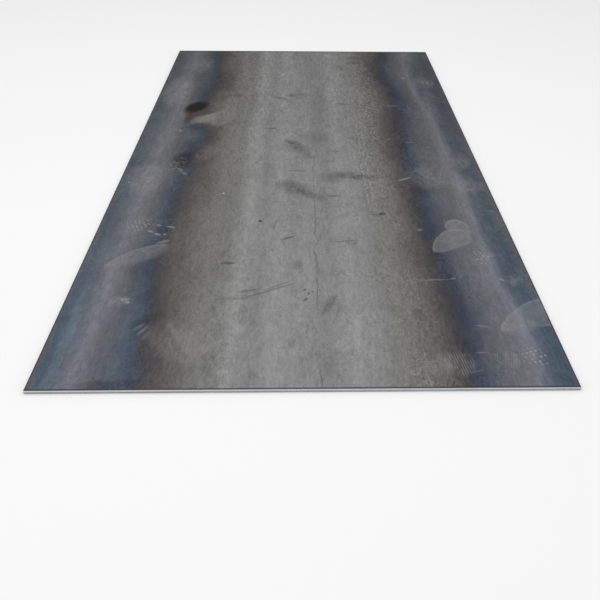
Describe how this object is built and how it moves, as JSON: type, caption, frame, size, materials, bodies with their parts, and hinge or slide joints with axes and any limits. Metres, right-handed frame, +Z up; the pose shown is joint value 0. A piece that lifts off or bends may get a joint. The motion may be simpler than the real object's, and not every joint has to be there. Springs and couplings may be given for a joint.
{
  "type": "steel plate",
  "caption": "Flat rectangular hot-rolled steel plate with rounded mill edges along its sides, sheared ends and heat-tinted blue-grey mill scale; raw stock for cutting and welding.",
  "frame": {"origin": "centre of the underside, on the floor the plate lies on", "axes": "+X across the width, +Y along the length (the rolling direction), +Z up out of the top face"},
  "size_m": [1.25, 2.5, 0.01],
  "materials": {
    "mill_scale": "satin blue-grey mill scale with heat-tint bands along the sides, scuffs and dust; bright sheared ends"
  },
  "bodies": {
    "root": {"plate": "mill_scale"}
  },
  "joints": []
}
